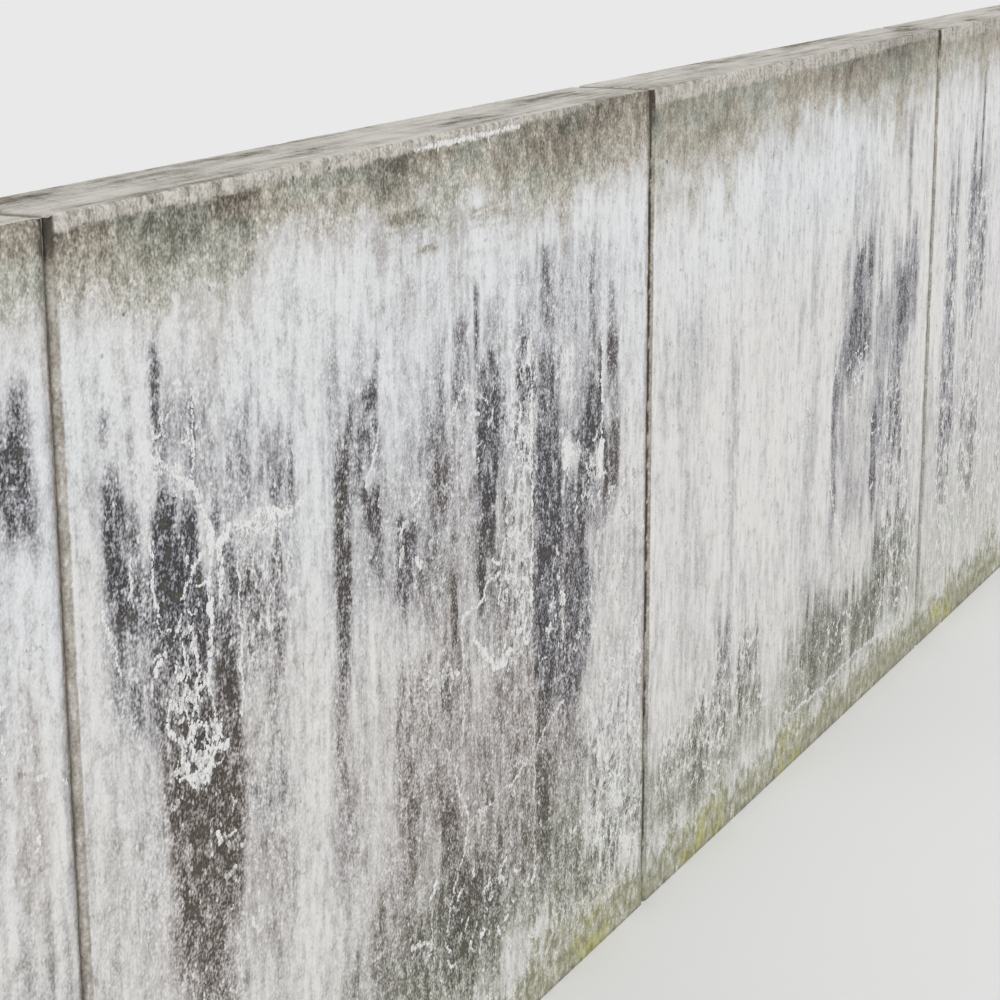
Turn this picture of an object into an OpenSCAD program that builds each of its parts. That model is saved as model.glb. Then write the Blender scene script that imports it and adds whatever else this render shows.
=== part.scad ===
// Highway noise barrier: a straight run of thick cast concrete panels, set end to end.
// X runs along the wall, Y across it with the road face towards -Y, and Z is up.
// The origin is in the middle of the footprint, level with the underside of the panels.

/* [Run] */
// Number of whole bays in the run
bays = 6; // [2:1:6]
// Distance from the middle of one joint to the middle of the next
bay_pitch = 2500; // [1200:50:4000]

/* [Panel] */
// Height of a panel above the ground
panel_height = 2215; // [1000:5:4000]
// Thickness of a panel, from face to face
panel_thickness = 220; // [150:5:400]
// Leg of the small arris struck along the top edges, front and back
top_arris = 4; // [2:1:12]
// Leg of the fillet down the ends of a panel, front and back
end_fillet = 12; // [6:1:25]

/* [Joint] */
// Clear gap between the end faces of two panels
joint_gap = 8; // [5:1:20]
// How far the seal lies back from the bottom of the joint's groove
seal_recess = 3; // [1:1:10]
// Depth of the seal, measured into the gap
seal_depth = 15; // [8:1:30]
// How far the tooled face of the seal is hollowed along its middle
seal_hollow = 1.2; // [0.4:0.1:1.6]
// Flat lip left on each side of the hollow, where the seal clings to a panel
seal_lip = 0.6; // [0.3:0.1:0.9]

/* [Hidden] */
panel_length = bay_pitch - joint_gap;
half_thickness = panel_thickness / 2;
seal_side = end_fillet + seal_recess;
board_side = seal_side + seal_depth;
board_top = seal_recess + seal_depth;
seal_split_z = panel_height - top_arris - board_top;
hollow_width = joint_gap - 2 * seal_lip;
hollow_radius = (pow(hollow_width / 2, 2) + pow(seal_hollow, 2)) / (2 * seal_hollow);
concrete_colour = [0.82, 0.82, 0.80];
board_colour = [0.33, 0.29, 0.24];
seal_colour = [0.24, 0.23, 0.21];

function panel_x(k) = (k - (bays + 1) / 2) * bay_pitch;
function joint_x(k) = (k - bays / 2) * bay_pitch;

// Cross-section of the wall, taken in from its two faces by side and from its top by top.
// The arris moves in with the top, so a nested section keeps its corners cut while they last.
function section(side, top) =
    let (
        h = half_thickness - side,
        z = panel_height - top,
        leg = top_arris + (sqrt(2) - 1) * top - side
    )
    leg > 0
        ? [[-h, 0], [h, 0], [h, z - leg], [h - leg, z], [leg - h, z], [-h, z - leg]]
        : [[-h, 0], [h, 0], [h, z], [-h, z]];

// A cross-section carried along the wall for a length, centred on x
module along_wall(x, length) {
    translate([x - length / 2, 0, 0])
        rotate([90, 0, 90])
            linear_extrude(height = length)
                children();
}

// Footprint of a panel: a rectangle with its four upright corners cut at 45 degrees
module footprint() {
    l = panel_length / 2;
    h = half_thickness;
    c = end_fillet;
    polygon([
        [c - l, -h], [l - c, -h], [l, c - h], [l, h - c],
        [l - c, h], [c - l, h], [-l, h - c], [-l, c - h]
    ]);
}

// One casting: the end fillets run right up, so the groove between two panels is open at the top
module panel(k) {
    color(concrete_colour)
        intersection() {
            along_wall(panel_x(k), panel_length)
                polygon(section(0, 0));
            translate([panel_x(k), 0, 0])
                linear_extrude(height = panel_height)
                    footprint();
        }
}

// Soft board between the end faces, behind the seals on both faces and below the top one
module joint_board(k) {
    color(board_colour)
        along_wall(joint_x(k), joint_gap)
            polygon(section(board_side, board_top));
}

// The seal that wraps the board, up one face, over the top and down the other
module seal_band(k) {
    along_wall(joint_x(k), joint_gap)
        difference() {
            polygon(section(seal_side, seal_recess));
            polygon(section(board_side, board_top));
        }
}

// Bar that hollows a seal's face: it lies along Z through the origin and bites into +Y
module hollow_bar() {
    translate([0, seal_hollow - hollow_radius, 0])
        cylinder(h = 3 * panel_height, r = hollow_radius, center = true, $fn = 64);
}

// Upright seal in the front groove, tooled to a hollow face
module joint_front_seal(k) {
    color(seal_colour)
        difference() {
            intersection() {
                seal_band(k);
                translate([joint_x(k) - joint_gap, -half_thickness, 0])
                    cube([2 * joint_gap, half_thickness, seal_split_z]);
            }
            translate([joint_x(k), seal_side - half_thickness, 0])
                hollow_bar();
        }
}

// The same seal in the back groove
module joint_back_seal(k) {
    mirror([0, 1, 0])
        joint_front_seal(k);
}

// Seal across the top of the joint, turned down at both ends to meet the upright ones
module joint_top_seal(k) {
    color(seal_colour)
        difference() {
            intersection() {
                seal_band(k);
                translate([joint_x(k) - joint_gap, -half_thickness, seal_split_z])
                    cube([2 * joint_gap, panel_thickness, panel_height - seal_split_z]);
            }
            translate([joint_x(k), 0, panel_height - seal_recess])
                rotate([-90, 0, 0])
                    hollow_bar();
            for (side = [0, 1])
                mirror([0, side, 0])
                    translate([joint_x(k), seal_side - half_thickness, 0])
                        hollow_bar();
        }
}

for (k = [1:bays])
    panel(k);
for (k = [1:bays - 1]) {
    joint_board(k);
    joint_front_seal(k);
    joint_top_seal(k);
    joint_back_seal(k);
}
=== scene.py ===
"""A weathered highway noise barrier: six cast concrete panels with sealed groove joints.

Metres, X along the wall, the road face towards -Y, Z up, ground at zero.
"""
import math
import bpy
import numpy as np
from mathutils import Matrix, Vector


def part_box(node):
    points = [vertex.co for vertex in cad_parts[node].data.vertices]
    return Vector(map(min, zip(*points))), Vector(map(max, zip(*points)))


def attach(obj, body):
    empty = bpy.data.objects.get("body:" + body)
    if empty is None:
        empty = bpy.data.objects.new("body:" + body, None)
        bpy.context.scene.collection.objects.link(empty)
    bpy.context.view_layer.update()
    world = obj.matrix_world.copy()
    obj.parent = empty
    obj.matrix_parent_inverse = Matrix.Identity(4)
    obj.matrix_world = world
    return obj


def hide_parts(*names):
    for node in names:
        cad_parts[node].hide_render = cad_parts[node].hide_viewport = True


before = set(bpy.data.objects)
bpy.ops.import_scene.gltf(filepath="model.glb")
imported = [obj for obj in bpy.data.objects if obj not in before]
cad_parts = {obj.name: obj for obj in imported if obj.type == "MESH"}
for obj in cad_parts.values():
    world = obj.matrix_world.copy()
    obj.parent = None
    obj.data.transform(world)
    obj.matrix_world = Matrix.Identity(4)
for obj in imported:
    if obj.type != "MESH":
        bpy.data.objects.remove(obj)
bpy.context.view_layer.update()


# The camera stands a little above the wall, left of the middle joint and close to the road face,
# and looks along the wall and down, so that the run grows smaller towards the right.
CAMERA_PLACE = (-5.6542, -2.5127, 2.7582)
CAMERA_TURN_DEG = (75.270, 0.253, -63.396)
CAMERA_LENS_MM = 86.865
CAMERA_SENSOR_MM = 36.0


def placed(name, data):
    """A new object at the origin, in the scene."""
    made = bpy.data.objects.new(name, data)
    bpy.context.scene.collection.objects.link(made)
    return made


camera = placed("camera", bpy.data.cameras.new("camera"))
camera.data.lens = CAMERA_LENS_MM
camera.data.sensor_width = CAMERA_SENSOR_MM
camera.data.clip_end = 500.0
camera.location = CAMERA_PLACE
camera.rotation_euler = [math.radians(turn) for turn in CAMERA_TURN_DEG]
bpy.context.scene.camera = camera


# The panels: each is one casting of grey concrete with a small arris along the top and fillets
# down its ends. Decades of rain have streaked the faces with dark growth and white lime, left a
# pale washed band under the top edge, and let moss climb from the ground.
BAY = 2.5
WALL_HEIGHT = 2.215
TOP_ARRIS = 0.004
END_FILLET = 0.012
SKIN_DEPTH = 0.0012
PANELS = [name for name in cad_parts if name.startswith("panel_")]

# How far apart the mesh's columns stand. The rows close up in the finely meshed zone at the top.
PANEL_STEP = {"panel_3": 0.0088, "panel_4": 0.0088, "panel_1": 0.018, "panel_6": 0.018}
OTHER_STEP = 0.0125
FINE_ZONE = 0.32

# The parts of a casting's cross-section, in order, and the way inwards from each, as (Y, Z).
FRONT, FRONT_ARRIS, CROWN, BACK_ARRIS, BACK, FOOT = range(6)
INWARDS = [(1, 0), (1, -1), (0, -1), (-1, -1), (-1, 0), (0, 0)]


def smooth(low, high, value):
    """Nought below low, one above high, and a soft S-curve between."""
    t = np.clip((value - low) / (high - low), 0.0, 1.0)
    return t * t * (3.0 - 2.0 * t)


def lattice(i, j, seed):
    """A fixed pseudo-random number from 0 to 1 for each whole-numbered point, by mixing its bits."""
    h = i.astype(np.int64) * 374761393 + j.astype(np.int64) * 668265263 + seed * 1274126177
    h = (h ^ (h >> 13)) & 0xFFFFFFFF
    h = (h * 1103515245) & 0xFFFFFFFF
    h = (h ^ (h >> 16)) * 2246822519 & 0xFFFFFFFF
    return ((h ^ (h >> 15)) & 0xFFFFFF) / float(0xFFFFFF)


def drift(a, b, size_a, size_b, seed):
    """Random values on a lattice of size_a by size_b, blended with S-curves between its points."""
    a, b = np.broadcast_arrays(a / size_a, b / size_b)
    i, j = np.floor(a), np.floor(b)
    s, t = smooth(0.0, 1.0, a - i), smooth(0.0, 1.0, b - j)
    low = lattice(i, j, seed) * (1 - s) + lattice(i + 1, j, seed) * s
    high = lattice(i, j + 1, seed) * (1 - s) + lattice(i + 1, j + 1, seed) * s
    return low * (1 - t) + high * t


def clouds(a, b, size_a, size_b, seed, octaves=3):
    """Drifts added up, each half as large and half as strong as the one before, scaled to 0 to 1."""
    total, weight = 0.0, 0.0
    for octave in range(octaves):
        shrink = 2.0 ** octave
        total = total + drift(a, b, size_a / shrink, size_b / shrink, seed + 31 * octave) / shrink
        weight += 1.0 / shrink
    return total / weight


# What weathers one face of a panel, in metres: across from its left joint, and down from its top.
# Each mark is (left, right, start, end, strength, brownness). A strength below nought washes clean.
MARKS = {
    "panel_2": [
        (2.33, 2.43, 0.22, 0.62, 0.8, 0.1), (2.1, 2.3, 0.35, 1.05, 0.6, 0.2),
        (2.34, 2.42, 0.6, 1.3, 0.26, 0.8), (1.2, 1.62, 0.4, 1.25, 0.8, 0.1),
        (0.7, 0.82, 0.5, 1.1, 0.7, 0.3), (0.15, 0.32, 0.35, 1.45, 0.6, 0.5),
        (1.75, 1.98, 1.2, 2.0, 0.55, 0.6), (0.0, 2.5, 1.1, 2.2, 0.3, 0.5),
    ],
    "panel_3": [
        (0.0, 2.5, 1.0, 2.2, 0.2, 0.6), (1.02, 2.1, 1.1, 2.2, 0.34, 0.8),
        # thin grey veils, drawn out upwards into faint streaks
        (0.0, 0.26, 0.2, 1.1, 0.06, 0.2), (0.09, 0.26, 0.34, 1.2, 0.15, 0.1),
        (0.3, 0.46, 0.24, 0.66, 0.16, 0.0), (0.42, 0.76, 0.46, 0.94, 0.3, 0.0),
        (0.53, 0.76, 0.76, 1.5, 0.13, 0.6), (0.3, 0.42, 0.58, 1.0, 0.64, 0.1),
        (2.12, 2.46, 1.52, 2.04, 0.3, 0.3), (1.64, 1.9, 1.52, 1.8, 0.12, 0.5),
        (0.45, 0.66, 1.0, 1.24, 0.24, 0.6), (0.84, 1.11, 0.36, 1.06, 0.28, 0.1),
        (1.08, 1.48, 0.14, 0.42, 0.16, 0.4), (1.62, 1.83, 0.52, 0.88, 0.26, 0.1),
        (1.64, 1.81, 0.94, 1.28, 0.46, 0.4), (2.21, 2.31, 0.6, 1.14, 0.3, 0.4),
        (2.3, 2.49, 0.24, 1.6, 0.08, 0.4), (1.1, 1.66, 0.36, 0.96, 0.18, 0.1),
        (1.1, 1.72, 0.7, 1.4, 0.18, 0.5), (1.68, 2.22, 0.26, 0.84, 0.28, 0.1),
        (1.74, 1.86, 0.5, 0.96, 0.4, 0.1),
        # the first black tongue, left of the big one
        (0.11, 0.14, 0.34, 0.41, 0.6, 0.1), (0.11, 0.165, 0.44, 0.6, 0.66, 0.1),
        (0.105, 0.165, 0.5, 0.7, 0.86, 0.1), (0.13, 0.175, 0.6, 0.8, 0.9, 0.1),
        (0.165, 0.215, 0.5, 0.64, 0.62, 0.1), (0.18, 0.21, 0.38, 0.52, 0.34, 0.1),
        (0.17, 0.25, 0.62, 0.82, 0.8, 0.1), (0.105, 0.25, 0.62, 0.9, 0.42, 0.2),
        (0.12, 0.15, 0.76, 0.92, 0.52, 0.2), (0.18, 0.26, 0.8, 0.98, 0.46, 0.3),
        # the big one, with a brown foot
        (0.258, 0.29, 0.22, 0.52, 0.66, 0.1), (0.3, 0.4, 0.32, 0.56, 0.28, 0.1),
        (0.378, 0.4, 0.34, 0.62, 0.46, 0.1), (0.255, 0.335, 0.49, 0.74, 1.0, 0.0),
        (0.25, 0.405, 0.57, 0.84, 0.84, 0.0), (0.25, 0.43, 0.66, 0.9, 0.86, 0.2),
        (0.24, 0.335, 0.8, 1.02, 0.88, 0.4), (0.33, 0.43, 0.72, 1.1, 0.84, 0.3),
        (0.435, 0.525, 0.76, 1.14, 1.0, 0.5), (0.448, 0.505, 0.88, 1.12, 0.8, 0.6),
        (0.255, 0.46, 0.9, 1.22, 0.88, 0.6), (0.24, 0.33, 0.9, 1.2, 0.4, 0.6),
        (0.5, 0.53, 0.7, 1.0, 0.52, 0.4), (0.44, 0.53, 0.56, 0.84, 0.66, 0.1),
        (0.275, 0.51, 1.02, 1.5, 0.84, 0.9), (0.295, 0.385, 1.08, 1.42, 0.7, 0.9),
        (0.41, 0.505, 1.1, 1.42, 0.66, 0.9), (0.32, 0.45, 1.42, 1.84, 0.52, 0.8),
        (0.24, 0.52, 1.3, 1.8, 0.22, 0.7), (0.18, 0.27, 1.05, 1.4, 0.14, 0.5),
        # right of it
        (0.533, 0.572, 0.7, 0.84, 0.92, 0.4), (0.535, 0.61, 0.69, 1.02, 0.52, 0.6),
        (0.62, 0.695, 0.69, 1.02, 0.56, 0.6), (0.63, 0.66, 0.92, 1.2, 0.3, 0.4),
        (0.545, 0.577, 0.38, 0.66, 0.5, 0.0), (0.5, 0.545, 0.4, 0.64, 0.24, 0.0),
        (0.65, 0.7, 0.42, 0.7, 0.38, 0.1), (0.716, 0.74, 0.48, 0.72, 0.56, 0.2),
        (0.402, 0.44, 0.34, 0.64, 0.26, 0.1), (0.58, 0.69, 1.16, 1.32, 0.34, 0.3),
        (0.54, 0.74, 1.24, 1.6, 0.1, 0.7), (0.865, 0.885, 0.36, 0.56, 0.3, 0.1),
        (0.892, 0.95, 0.52, 0.96, 1.1, 0.5), (0.892, 0.95, 0.8, 1.12, 0.7, 0.5),
        (0.945, 1.0, 0.5, 0.78, 0.4, 0.1), (0.955, 0.967, 0.38, 0.54, 0.34, 0.0),
        (0.85, 0.925, 1.04, 1.4, 0.46, 0.6), (0.78, 0.96, 1.3, 1.6, 0.22, 0.5),
        (0.85, 0.96, 1.66, 2.0, 0.42, 0.5),
        # the middle of the panel
        (1.005, 1.065, 0.46, 0.54, 0.7, 0.1), (1.0, 1.078, 0.54, 0.67, 0.6, 0.0),
        (1.0, 1.078, 0.67, 0.83, 0.88, 0.4), (1.02, 1.085, 0.78, 0.94, 0.46, 0.3),
        (1.11, 1.23, 0.6, 0.86, 0.12, 0.1), (1.15, 1.212, 0.76, 1.02, 0.66, 0.3),
        (1.16, 1.203, 0.82, 0.94, 0.6, 0.3), (1.115, 1.155, 0.86, 0.98, 0.4, 0.4),
        (1.235, 1.285, 0.56, 0.76, 0.44, 0.1), (1.278, 1.295, 0.44, 0.64, 0.38, 0.1),
        (1.2, 1.31, 0.68, 1.0, 0.22, 0.1), (1.295, 1.39, 0.52, 0.9, 0.46, 0.3),
        (1.315, 1.385, 0.68, 0.86, 0.5, 0.8), (1.332, 1.362, 0.42, 0.64, 0.46, 0.1),
        (1.395, 1.49, 0.38, 0.64, 0.4, 0.2), (1.42, 1.452, 0.4, 0.48, 0.44, 0.3),
        (1.408, 1.465, 0.52, 0.61, 0.56, 0.3), (1.24, 1.41, 0.84, 1.1, 0.38, 0.5),
        (1.383, 1.412, 0.955, 1.16, 1.1, 1.0), (1.4, 1.52, 0.62, 1.06, 0.34, 0.5),
        # the black pillar
        (1.508, 1.53, 0.31, 0.54, 0.72, 0.2), (1.515, 1.635, 0.48, 0.66, 0.72, 0.1),
        (1.512, 1.635, 0.58, 0.8, 0.9, 0.0), (1.525, 1.625, 0.72, 0.96, 0.92, 0.1),
        (1.548, 1.602, 0.84, 1.03, 0.86, 0.4), (1.52, 1.547, 0.935, 1.11, 1.0, 0.3),
        (1.56, 1.625, 0.98, 1.16, 0.56, 0.4), (1.5, 1.56, 0.84, 1.22, 0.56, 0.4),
        (1.64, 1.668, 0.5, 0.72, 0.52, 0.1), (1.56, 1.63, 0.36, 0.52, 0.3, 0.0),
        # the two thin ones and the lace after it
        (1.728, 1.758, 0.31, 0.4, 0.46, 0.1), (1.72, 1.785, 0.43, 0.6, 0.6, 0.1),
        (1.705, 1.792, 0.56, 0.68, 0.9, 0.2), (1.7, 1.79, 0.62, 0.84, 0.46, 0.3),
        (1.65, 1.8, 0.72, 0.98, 0.28, 0.3), (1.62, 1.81, 0.84, 1.16, 0.44, 0.6),
        (1.738, 1.765, 0.9, 1.0, 0.4, 0.4), (1.835, 1.895, 0.28, 0.46, 0.46, 0.3),
        (1.85, 1.915, 0.38, 0.54, 0.62, 0.4),
        # the widest black mass, before the far joint
        (1.845, 1.94, 0.54, 0.76, 0.72, 0.1), (1.82, 1.95, 0.66, 0.94, 0.88, 0.0),
        (1.815, 1.955, 0.82, 1.24, 1.05, 0.1), (1.83, 1.9, 0.98, 1.42, 1.05, 0.0),
        (1.9, 2.11, 0.88, 1.28, 0.94, 0.2), (2.02, 2.11, 0.86, 1.04, 0.5, 0.1),
        (1.81, 1.93, 0.98, 1.42, 1.05, 0.2), (1.95, 2.1, 0.66, 0.9, 0.34, 0.1),
        (2.025, 2.09, 0.76, 0.85, 0.5, 0.1), (2.05, 2.215, 0.56, 0.8, 0.34, 0.1),
        (2.07, 2.215, 0.66, 0.96, 0.84, 0.1), (2.105, 2.2, 0.88, 1.06, 0.56, 0.2),
        (2.115, 2.148, 0.34, 0.48, 0.5, 0.2), (2.125, 2.165, 0.42, 0.64, 0.54, 0.2),
        (2.168, 2.195, 0.56, 0.78, 0.5, 0.2), (1.93, 2.06, 0.4, 0.62, 0.24, 0.3),
        (1.88, 2.06, 1.1, 1.52, 0.76, 0.0), (2.0, 2.15, 1.08, 1.36, 0.72, 0.1),
        (2.0, 2.125, 1.22, 1.46, 0.62, 0.1), (1.805, 1.89, 1.34, 1.56, 0.6, 0.6),
        (1.815, 1.905, 1.48, 1.84, 0.78, 0.7), (1.9, 2.11, 1.44, 1.84, 0.24, 0.5),
        (2.1, 2.21, 0.98, 1.26, 0.3, 0.4), (2.23, 2.285, 0.44, 0.66, 0.44, 0.2),
        (2.22, 2.295, 0.56, 0.74, 0.62, 0.4), (2.25, 2.305, 0.66, 0.8, 0.46, 0.4),
        (2.2, 2.3, 0.74, 1.06, 0.74, 0.5), (2.34, 2.375, 0.94, 1.02, 0.4, 0.3),
        # the brown and grey veil below
        (1.12, 1.32, 1.12, 1.56, 0.22, 0.8), (1.15, 1.225, 1.3, 1.7, 0.34, 0.8),
        (1.3, 1.43, 1.1, 1.56, 0.18, 0.8), (1.315, 1.405, 1.42, 1.8, 0.58, 0.8),
        (1.33, 1.364, 1.18, 1.3, 0.5, 0.6), (1.47, 1.625, 1.56, 1.9, 0.52, 0.8),
        (1.36, 1.5, 1.64, 2.12, 0.84, 0.6), (1.38, 1.425, 1.72, 1.92, 0.7, 0.3),
        (1.43, 1.64, 1.72, 2.06, 0.72, 0.4), (1.19, 1.4, 1.7, 2.04, 0.54, 0.5),
        (0.98, 1.24, 1.62, 2.0, 0.34, 0.7), (1.015, 1.065, 1.62, 1.84, 0.26, 0.6),
        (1.6, 1.82, 1.56, 1.96, 0.36, 0.8), (1.69, 1.82, 1.26, 1.66, 0.22, 1.0),
        (1.5, 1.7, 1.26, 1.62, 0.16, 0.5), (1.795, 1.9, 1.7, 2.02, 0.44, 0.6),
        (1.98, 2.09, 1.72, 1.94, 0.26, 0.5), (1.91, 2.1, 1.8, 2.08, 0.46, 0.4),
        (2.09, 2.21, 1.56, 1.8, 0.26, 0.4), (2.145, 2.195, 1.72, 1.84, 0.54, 0.3),
        (2.215, 2.275, 1.68, 1.8, 0.62, 0.2), (2.205, 2.255, 1.84, 1.96, 0.62, 0.3),
        (2.1, 2.32, 1.88, 2.1, 0.56, 0.4), (2.325, 2.385, 1.82, 1.94, 0.5, 0.3),
        (2.38, 2.48, 1.78, 2.06, 0.36, 0.3), (2.2, 2.48, 1.34, 1.62, 0.14, 0.2),
        # washed clean by running water, or splashed with lime
        (0.76, 0.85, 0.2, 1.2, -0.8, 0.0), (0.21, 0.252, 0.26, 0.62, -0.95, 0.0),
        (0.4, 0.44, 0.56, 0.76, -0.7, 0.0), (0.7, 0.84, 1.0, 1.8, -0.8, 0.0),
        (0.45, 0.66, 0.63, 0.7, -0.5, 0.0), (1.08, 1.14, 0.3, 0.74, -0.8, 0.0),
        (1.02, 1.12, 1.1, 1.6, -0.5, 0.0), (1.66, 1.712, 0.3, 0.7, -0.9, 0.0),
        (2.196, 2.222, 0.3, 0.95, -0.85, 0.0), (2.33, 2.45, 0.2, 0.8, -0.2, 0.0),
        (2.16, 2.42, 1.22, 1.56, -0.45, 0.0), (1.96, 2.03, 0.785, 0.865, -1.1, 0.0),
        (1.97, 2.036, 0.56, 0.66, -0.7, 0.0), (2.172, 2.212, 0.85, 0.97, -1.0, 0.0),
        (1.0, 2.48, 0.22, 0.32, -0.4, 0.0), (1.62, 1.9, 1.94, 2.1, -0.6, 0.0),
    ],
    "panel_4": [
        (0.0, 2.5, 1.3, 2.2, 0.13, 0.4), (0.06, 0.24, 0.6, 0.94, 0.17, 0.1),
        (0.26, 0.44, 0.62, 0.9, 0.17, 0.1), (0.12, 0.38, 1.0, 1.4, 0.12, 0.2),
        (0.57, 0.64, 0.74, 1.14, 0.22, 0.2), (0.59, 0.64, 1.06, 1.6, 0.18, 0.3),
        (1.25, 1.31, 0.34, 0.94, 0.3, 0.1), (1.21, 1.32, 0.94, 1.5, 0.26, 0.2),
        (1.19, 1.33, 1.54, 2.08, 0.24, 0.3), (1.13, 1.2, 0.68, 0.84, 0.2, 0.1),
        (1.63, 1.68, 0.4, 0.62, 0.34, 0.0), (1.54, 1.62, 0.58, 1.04, 0.4, 0.1),
        (1.64, 1.76, 0.6, 1.02, 0.92, 0.0), (1.75, 1.86, 0.58, 1.08, 0.78, 0.1),
        (1.66, 1.9, 0.34, 0.8, 0.2, 0.0), (1.55, 1.87, 0.82, 1.1, 0.34, 0.1),
        (1.62, 1.72, 0.8, 1.06, 0.3, 0.1), (1.89, 2.06, 0.74, 1.16, 0.46, 0.1),
        (1.9, 1.95, 0.5, 0.8, 0.36, 0.0), (2.06, 2.34, 0.62, 1.06, 0.58, 0.1),
        (2.12, 2.24, 0.74, 1.08, 0.8, 0.0), (2.19, 2.24, 0.12, 0.8, 0.5, 0.1),
        (2.27, 2.35, 0.76, 1.0, 0.52, 0.1), (2.06, 2.22, 0.96, 1.54, 0.7, 0.1),
        (2.12, 2.16, 1.06, 1.56, 0.4, 0.1), (1.875, 1.945, 1.12, 1.6, 1.05, 0.1),
        (1.93, 2.0, 1.06, 1.4, 0.4, 0.1), (1.47, 1.54, 0.94, 1.54, 0.66, 0.2),
        (1.49, 1.64, 0.9, 1.14, 0.44, 0.2), (1.54, 1.9, 1.04, 1.58, 0.34, 0.3),
        (1.94, 2.36, 1.06, 1.8, 0.32, 0.3), (1.1, 1.46, 1.7, 2.12, 0.5, 0.4),
        (1.33, 1.54, 1.66, 2.1, 0.46, 0.3), (1.5, 2.08, 1.72, 2.12, 0.64, 0.3),
        (1.94, 2.28, 1.56, 1.98, 0.7, 0.2), (2.14, 2.44, 1.64, 2.02, 0.44, 0.2),
        (0.0, 0.16, 1.78, 2.1, 0.38, 0.4), (0.14, 0.34, 1.74, 2.1, 0.24, 0.4),
        (0.33, 0.47, 1.68, 2.08, 0.62, 0.3), (0.5, 0.62, 1.54, 2.0, 0.56, 0.3),
        (0.68, 0.84, 1.6, 1.96, 0.72, 0.3), (0.1, 0.9, 1.74, 2.08, 0.38, 0.5),
        (0.84, 1.1, 1.84, 2.1, 0.22, 0.5), (1.7, 2.12, 2.06, 2.2, -0.5, 0.0),
        (0.88, 1.08, 1.2, 1.96, -0.3, 0.0), (0.02, 1.16, 0.22, 0.6, -0.5, 0.0),
        (1.34, 1.52, 0.2, 0.85, -0.5, 0.0), (0.66, 1.16, 0.6, 1.6, -0.4, 0.0),
        (2.36, 2.44, 0.6, 1.6, -0.5, 0.0),
    ],
    "panel_5": [
        (0.18, 0.33, 0.4, 1.84, 0.7, 0.1), (0.45, 0.69, 0.4, 1.16, 0.72, 0.1),
        (0.575, 0.605, 0.1, 0.66, 0.75, 0.3), (0.46, 0.68, 1.2, 1.85, 0.46, 0.3),
        (1.05, 1.3, 0.5, 1.3, 0.66, 0.1), (1.7, 1.85, 0.4, 1.1, 0.76, 0.1),
        (2.1, 2.2, 0.6, 1.6, 0.6, 0.4), (1.3, 2.2, 1.7, 2.05, 0.52, 0.5),
        (0.0, 2.5, 1.1, 2.2, 0.28, 0.4),
    ],
}

# The soot that hangs from the top edge, as (across, strength, reach downwards, brownness).
GRIME = {
    "panel_2": [
        (0.0, 0.6, 0.16, 0.8), (1.9, 0.55, 0.16, 0.8), (2.1, 0.45, 0.13, 0.6), (2.5, 0.6, 0.15, 0.7),
    ],
    "panel_3": [
        (0.0, 0.66, 0.13, 0.9), (0.2, 0.68, 0.14, 0.9), (0.32, 0.8, 0.17, 1.0), (0.56, 0.78, 0.15, 1.0),
        (0.66, 0.56, 0.12, 1.0), (0.85, 0.52, 0.12, 1.0), (0.95, 0.66, 0.12, 0.9),
        (1.03, 0.66, 0.12, 0.8), (1.1, 0.9, 0.13, 0.7), (1.22, 0.78, 0.13, 0.7),
        (1.28, 0.56, 0.13, 0.8), (1.5, 0.6, 0.14, 0.9), (1.75, 0.68, 0.15, 0.9), (2.0, 0.8, 0.18, 0.8),
        (2.18, 0.72, 0.17, 0.9), (2.24, 0.64, 0.14, 1.0), (2.4, 0.62, 0.14, 1.0),
        (2.5, 0.76, 0.15, 1.0),
    ],
    "panel_4": [
        (0.0, 0.82, 0.22, 1.0), (0.2, 0.64, 0.23, 1.0), (0.5, 0.58, 0.22, 1.0), (0.9, 0.54, 0.19, 0.9),
        (1.1, 0.54, 0.17, 0.9), (1.3, 0.64, 0.17, 0.8), (1.45, 0.7, 0.15, 0.6), (1.6, 0.8, 0.15, 0.6),
        (1.73, 0.76, 0.15, 0.6), (1.8, 0.74, 0.18, 0.5), (1.92, 0.8, 0.19, 0.5), (2.1, 0.76, 0.21, 0.5),
        (2.3, 0.66, 0.2, 0.6), (2.4, 0.56, 0.16, 0.7), (2.5, 0.66, 0.16, 0.9),
    ],
    "panel_5": [
        (0.0, 0.5, 0.17, 0.5), (0.6, 0.55, 0.16, 0.6), (1.5, 0.6, 0.15, 0.8), (2.5, 0.55, 0.15, 0.8),
    ],
}
PLAIN_GRIME = [
    (0.0, 0.66, 0.14, 0.9), (0.7, 0.52, 0.17, 0.8), (1.5, 0.7, 0.13, 0.8), (2.5, 0.62, 0.16, 0.9),
]

# How dark the fillet is on a panel's left, and how black the painted shade of the gap is at the bottom
# of its groove.
SEAM = {"panel_3": (0.36, 0.2), "panel_4": (0.46, 1.0), "panel_5": (0.42, 0.2)}
PLAIN_SEAM = (0.36, 0.4)

# Where lime has spread over the growth as lace, as (left, right, start, end).
LACES = {
    "panel_3": [(1.64, 1.82, 0.45, 1.24), (2.1, 2.48, 1.3, 2.08), (0.53, 0.74, 0.68, 0.95)],
    "panel_4": [(2.0, 2.45, 1.1, 1.9), (0.05, 1.0, 1.6, 1.95)],
    "panel_5": [(0.1, 1.4, 0.6, 2.0)],
}

# The deepest the growth gets, and how sandy the skin is at a panel's left and at its right.
DEEPEST = {"panel_3": 0.9, "panel_4": 0.84, "panel_5": 0.84}
PLAIN_DEEPEST = 0.93
SANDY = {"panel_3": (1.0, 0.85), "panel_4": (0.7, 0.6), "panel_5": (0.6, 0.6)}
PLAIN_SANDY = (0.9, 0.9)

# Beige strokes that a float left across the face, as (left, right, start, end, strength).
STROKES = {"panel_3": [(1.05, 1.42, 0.125, 0.275, 0.5), (1.4, 1.8, 0.13, 0.31, 0.28)]}

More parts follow.
